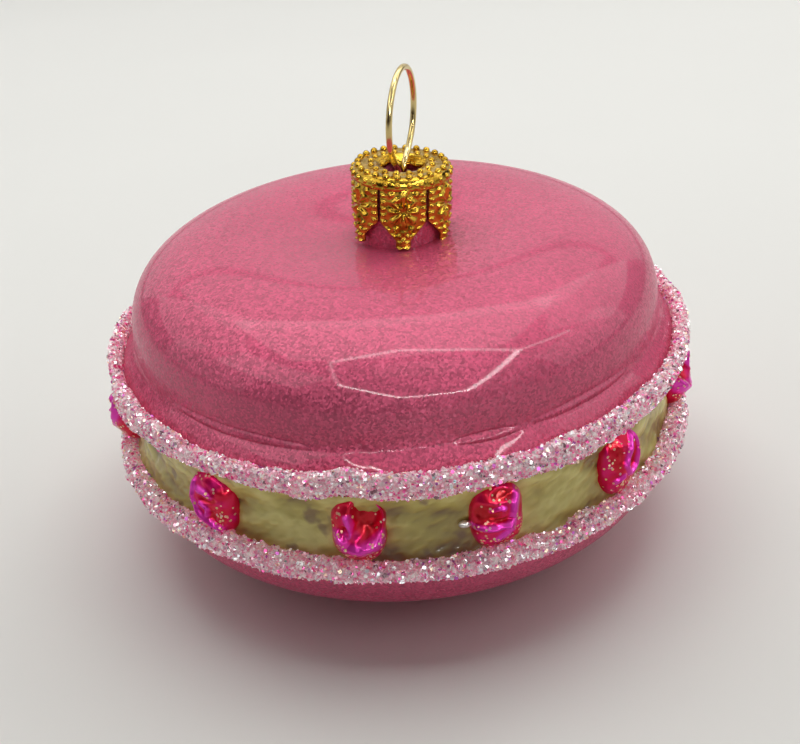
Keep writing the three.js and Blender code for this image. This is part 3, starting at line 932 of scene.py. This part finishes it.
def berry_surface(index):
    """Points, heights up the band and tones of a berry's face, from its middle out to its edge."""
    angle, kind, mirror, more_rise = BERRIES[index]
    turn = angles(BERRY_AROUND)[:, None]
    reach = np.linspace(0, 1, BERRY_ROWS)[None, :]
    wobble = 0.05 * noise(np.stack([2 * np.cos(turn), 2 * np.sin(turn), 0 * turn + 9 * index], -1), 1, 61)
    square = np.abs(np.cos(turn)) ** BERRY_SQUARENESS + np.abs(np.sin(turn)) ** BERRY_SQUARENESS
    outline = square ** (-1 / BERRY_SQUARENESS) + wobble
    u = reach * outline * np.cos(turn)
    v = reach * outline * np.sin(turn)
    relief, tone = berry_face(BERRY_KINDS[kind], mirror, index, u, v)
    held = smooth((1 - reach) / 0.14)
    height = (BERRY_RISE + more_rise) * (1 - reach**2.6) ** 0.5 - BERRY_SINK + relief * held
    return berry_place(angle, u, v, height), v, tone


def edged_tone(tone):
    """The berry's tones, turned to its plain red along its edge."""
    edge = smooth((np.linspace(0, 1, BERRY_ROWS)[None, :] - 0.94) / 0.05)
    return tone * (1 - edge) + BERRY_EDGE_TONE * edge


def berry_chips(index):
    """Chips of bare silver beside a berry."""
    angle, kind, mirror, _ = BERRIES[index]
    ball = sphere_grid(*CHIP_GRID)
    chips = []
    for middle_u, middle_v, half_u, half_v in BERRY_KINDS[kind]["chips"]:
        u = mirror * middle_u + ball[..., 0] * half_u
        v = middle_v + ball[..., 2] * half_v
        chips.append(berry_place(angle, u, v, -0.35 - 0.45 * ball[..., 1]))
    return chips


def spangle_places(rng, face, up, tone):
    """Random places and outward normals on a berry's face, more of them low down."""
    pick = rng.random((SPANGLES * 3, 2))
    i = (pick[:, 0] * BERRY_AROUND).astype(int)
    j = (np.sqrt(0.2 + 0.74 * pick[:, 1]) * (BERRY_ROWS - 1)).astype(int)
    low = rng.random(len(pick)) < 0.35 + 0.65 * smooth(0.5 - up[i, j])
    good = np.flatnonzero((tone[i, j] > 0.3) & low)[:SPANGLES]
    i, j = i[good], j[good]
    places = face[i, j]
    normals = np.cross(face[(i + 1) % BERRY_AROUND, j] - places, places - face[i, j - 1])
    normals /= np.linalg.norm(normals, axis=1)[:, None]
    outward = places * [1, 1, 0] / np.linalg.norm(places[:, :2], axis=1)[:, None]
    return places, normals * np.sign((normals * outward).sum(1))[:, None]


def raspberry(index, materials):
    name = f"raspberry_{index + 1:02d}"
    rng = np.random.default_rng(100 + index)
    face, up, tone = berry_surface(index)
    chips = berry_chips(index)
    parts = [(face, grid_faces(BERRY_AROUND, BERRY_ROWS, False), 0)]
    parts += [(chip, grid_faces(*CHIP_GRID, False), 1) for chip in chips]
    piece = mesh_object(name + "_lacquered", parts)
    tones = [edged_tone(tone)] + [np.ones(CHIP_GRID) for _ in chips]
    point_values(piece, "tone", np.concatenate([part.ravel() for part in tones]))
    place_piece(piece, [name], "raspberry_lacquer", materials["berry"], materials["silver"])
    places, normals = spangle_places(rng, face, up, tone)
    sizes = rng.uniform(*SPANGLE_SIZES, len(places))
    points, faces = hexagons(rng, places + SPANGLE_LIFT * normals, normals, sizes, SPANGLE_TIP)
    dots = mesh_object(name + "_spangles", [(points, faces, 0)], shade_smooth=False)
    place_piece(dots, [name], "raspberry_lacquer", materials["spangle"])


# Cap and loop

def in_cap_frame(points):
    lean = math.radians(CAP_LEAN)
    points = np.asarray(points, float)
    x = points[..., 0] * math.cos(lean) + points[..., 2] * math.sin(lean)
    z = points[..., 2] * math.cos(lean) - points[..., 0] * math.sin(lean)
    return np.stack([x, points[..., 1], z], -1) + np.array(CAP_PLACE)


def petal_relief(arc, z):
    """Embossed star, dots and beaded edges of a petal, in mm."""
    turn = np.arctan2(arc, z - STAR_Z)
    reach = np.hypot(arc, (z - STAR_Z) * 0.9)
    lobe = np.abs(np.cos(4 * turn)) ** 2.5
    star = STAR_RISE * lobe * smooth((reach - 0.25) / 0.5) * smooth((2.3 - reach) / 0.7)
    half = petal_half(z)
    along_edge = np.exp(-(((half - np.abs(arc) - 0.45) / 0.28) ** 2))
    beaded = EDGE_BEAD_RISE * along_edge * np.maximum(0, np.cos(TURN * z / EDGE_BEAD_STEP)) ** 0.7
    dots = 0
    for dot_arc, dot_z, dot_size in PETAL_DOTS:
        dots = dots + DOT_RISE * np.exp(-(((arc - dot_arc) ** 2 + (z - dot_z) ** 2) / dot_size**2))
    return star + beaded + BULGE * (1 - (arc / half) ** 2) + dots


def petal_half(z):
    full = math.pi * CAP_RADIUS / PETALS - SLIT_HALF
    taper = np.clip((z - TIP_TOP) / (TAPER_TOP - TIP_TOP), 0, 1)
    return TIP_HALF + (full - TIP_HALF) * taper


def grid_edge(rows, columns):
    """The points round the border of an open grid, in order."""
    return np.concatenate([
        np.arange(0, rows) * columns,
        (rows - 1) * columns + np.arange(1, columns),
        np.arange(rows - 2, -1, -1) * columns + columns - 1,
        np.arange(columns - 2, 0, -1),
    ])


def petal(index):
    """A petal's stamped front, its plain back and the rim between them."""
    u = np.linspace(-1, 1, PETAL_COLUMNS)[:, None]
    z = np.linspace(0, SLIT_TOP + 0.3, PETAL_ROWS)[None, :]
    arc = u * petal_half(z)
    turn = index / PETALS * TURN + arc / CAP_RADIUS
    flare = PETAL_FLARE * smooth((3 - z) / 3)
    stamped = 0.05 * noise(np.stack(np.broadcast_arrays(arc, z, 7 * index), -1), 0.55, 71)
    front = around_z(turn, CAP_RADIUS + petal_relief(arc, z) - PETAL_INSET + flare + stamped, z)
    back = around_z(turn, CAP_RADIUS - METAL - PETAL_INSET + flare, z)
    faces = grid_faces(PETAL_COLUMNS, PETAL_ROWS, False, False)
    count = PETAL_COLUMNS * PETAL_ROWS
    edge = grid_edge(PETAL_COLUMNS, PETAL_ROWS)
    following = np.roll(edge, -1)
    rim = np.stack([edge + count, following + count, following, edge], -1)
    points = np.concatenate([front.reshape(-1, 3), back.reshape(-1, 3)])
    return points, np.concatenate([faces, faces[:, ::-1] + count, rim])


def cap_crown():
    """The band above the slits, the rounded rim and the top plate down into the torn hole."""
    under = CAP_PLATE_TOP - METAL
    inside = CAP_RADIUS - METAL
    outline = np.array([
        (inside, SLIT_TOP - 0.1), (CAP_RADIUS - 0.05, SLIT_TOP), (CAP_RADIUS, 7.9),
        (CAP_RADIUS - 0.05, 8.3), (CAP_RADIUS - 0.2, 8.65), (CAP_RADIUS - 0.45, 8.95),
        (CAP_RADIUS - 0.8, 9.12), (5.1, 9.1), (4.7, 9.02), (4.3, 9.04), (3.95, 9.12), (3.5, 9.1),
        (3.1, 8.9), (2.75, 8.5), (2.6, 8.1), (2.5, 7.9), (2.4, 7.9), (2.45, 8.2),
        (2.7, under - 0.4), (3.2, under - 0.2), (5.2, under - 0.3), (inside, under - 0.8),
    ])
    angle = angles(CROWN_AROUND)[:, None]
    inward = np.clip((HOLE_EDGE - outline[None, :, 0]) / 0.8, 0, 1)
    torn = 0.35 * np.cos(3 * angle + 0.7) + 0.2 * np.cos(7 * angle)
    radius = outline[None, :, 0] + torn * inward
    z = outline[None, :, 1] + 0.25 * torn * inward
    dented = 0.05 * noise(around_z(angle, radius, z), 0.9, 72)
    return around_z(angle, radius, z + dented), grid_faces(CROWN_AROUND, len(outline), True)


def rim_beads():
    unit = sphere_grid(*BEAD_GRID)
    beads = []
    for count, circle, z, size in BEAD_ROWS:
        for bead in range(count):
            beads.append(unit * size + around_z(np.array((bead + 0.5) / count * TURN), circle, z))
    return beads


def cap(material):
    crown, crown_faces = cap_crown()
    parts = [(in_cap_frame(crown), crown_faces, 0)]
    parts += [(in_cap_frame(bead), grid_faces(*BEAD_GRID, False), 0) for bead in rim_beads()]
    for index in range(PETALS):
        points, faces = petal(index)
        parts.append((in_cap_frame(points), faces, 0))
    return place_piece(mesh_object("cap_stamped", parts), ["cap"], "gold_cap", material)


def loop_path():
    """The wire's centre line, in the cap's frame before the loop's turn."""
    arc = np.radians(np.linspace(LOOP_ARC_END, 180 - LOOP_ARC_END, 11))
    ring = [(LOOP_HALF_WIDTH * math.cos(a), LOOP_MIDDLE_Z + LOOP_HALF_HEIGHT * math.sin(a)) for a in arc]
    return LOOP_LEG + ring + [(-across, z) for across, z in reversed(LOOP_LEG)]


def blend(t, start, end, first, last):
    return (end - t) / (end - start) * first + (t - start) / (end - start) * last


def spline(points, steps):
    """A smooth line through the points; each gap counts by the root of its length."""
    points = np.array(points, float)
    ends = np.concatenate([[2 * points[0] - points[1]], points, [2 * points[-1] - points[-2]]])
    line = []
    for k in range(1, len(ends) - 2):
        p0, p1, p2, p3 = ends[k - 1:k + 3]
        t0, t1 = 0, np.linalg.norm(p1 - p0) ** 0.5
        t2 = t1 + np.linalg.norm(p2 - p1) ** 0.5
        t3 = t2 + np.linalg.norm(p3 - p2) ** 0.5
        for t in np.linspace(t1, t2, steps, endpoint=False):
            middle = blend(t, t1, t2, p1, p2)
            before = blend(t, t0, t2, blend(t, t0, t1, p0, p1), middle)
            after = blend(t, t1, t3, middle, blend(t, t2, t3, p2, p3))
            line.append(blend(t, t1, t2, before, after))
    line.append(points[-1])
    return np.array(line)


def turned_about_z(points, degrees):
    turn = math.radians(degrees)
    x = points[..., 0] * math.cos(turn) - points[..., 1] * math.sin(turn)
    y = points[..., 0] * math.sin(turn) + points[..., 1] * math.cos(turn)
    return np.stack([x, y, points[..., 2]], -1)


def hanger_loop(material):
    line = spline(loop_path(), WIRE_STEPS)
    line = np.stack([line[:, 0], 0 * line[:, 0], line[:, 1]], -1)
    tangent = np.gradient(line, axis=0)
    tangent /= np.linalg.norm(tangent, axis=1)[:, None]
    side = np.array([[[0.0, 1.0, 0.0]]])
    other = np.cross(tangent, side[0])[:, None]
    turn = np.linspace(0, TURN, WIRE_SIDES, endpoint=False)[None, :, None]
    ring = line[:, None] + WIRE_RADIUS * (np.cos(turn) * side + np.sin(turn) * other)
    points = in_cap_frame(turned_about_z(ring, LOOP_TURN))
    faces = grid_faces(len(line), WIRE_SIDES, True, False)
    piece = mesh_object("hanger_loop_wire", [(points, faces, 0)])
    return place_piece(piece, ["hanger_loop"], "gold_wire", material)


# Setting

def add_camera():
    data = bpy.data.cameras.new("camera")
    data.lens = CAMERA_LENS
    data.sensor_width = SENSOR_WIDTH
    data.sensor_fit = "HORIZONTAL"
    data.clip_start = 0.01
    camera = bpy.data.objects.new("camera", data)
    place = Matrix.Translation((0, -CAMERA_BACK * MM, CAMERA_UP * MM))
    tilt = Matrix.Rotation(math.radians(90 - CAMERA_PITCH), 4, "X")
    roll = Matrix.Rotation(math.radians(CAMERA_ROLL), 4, "Z")
    camera.matrix_world = place @ tilt @ roll
    bpy.context.scene.collection.objects.link(camera)
    bpy.context.scene.camera = camera


def area_light(name, place, target, size, power, colour):
    data = bpy.data.lights.new(name, "AREA")
    data.shape = "RECTANGLE"
    data.size, data.size_y = size
    data.energy = power
    data.color = colour
    light = bpy.data.objects.new(name, data)
    light.location = place
    direction = Vector(target) - Vector(place)
    light.rotation_euler = direction.to_track_quat("-Z", "Y").to_euler()
    light.visible_camera = False
    bpy.context.scene.collection.objects.link(light)
    return light


def bar_light(name, start, end, width, power, colour):
    """A long narrow lamp from one place to another, facing the ornament."""
    start, end = Vector(start), Vector(end)
    middle = (start + end) / 2
    light = area_light(name, middle, LIGHT_AIM, ((end - start).length, width), power, colour)
    facing = (middle - Vector(LIGHT_AIM)).normalized()
    along = (end - start).normalized()
    across = facing.cross(along).normalized()
    light.rotation_euler = Matrix((along, across, along.cross(across))).transposed().to_euler()
    light.visible_diffuse = False


def add_floor():
    material, tree, shader = new_material("pale_floor")
    tint = ramp(tree, noise_value(tree, object_place(tree), scale=8), FLOOR_TONES)
    set_shader(shader, tint, roughness=0.7)
    bpy.ops.mesh.primitive_plane_add(size=FLOOR_SIZE)
    floor = bpy.context.object
    floor.name = "floor"
    floor.data.materials.append(material)


def add_lights():
    scene = bpy.context.scene
    world = bpy.data.worlds.new("studio")
    world.use_nodes = True
    background = world.node_tree.nodes["Background"]
    background.inputs["Color"].default_value = (*WORLD_COLOUR, 1)
    background.inputs["Strength"].default_value = WORLD_STRENGTH
    scene.world = world
    for name, place, target, size, power in PANELS:
        area_light(name, place, target, size, power, LIGHT_COLOUR)
    for name, start, end, width, power in BARS:
        bar_light(name, start, end, width, power, LIGHT_COLOUR)
    scene.view_settings.view_transform = "Standard"


add_camera()
add_floor()
add_lights()
glitter = {"_crust": glitter_crust(), "_grains": glitter_grain(), "_flakes": glitter_flake()}
berries = {"berry": raspberry_lacquer(), "spangle": berry_spangle(), "silver": bare_silver()}
glass_body(pink_glass())
filling(painted_filling())
glitter_foot(UPPER_FOOT, glitter)
glitter_foot(LOWER_FOOT, glitter)
for number in range(len(BERRIES)):
    raspberry(number, berries)
cap(gold_metal())
hanger_loop(gold_wire())
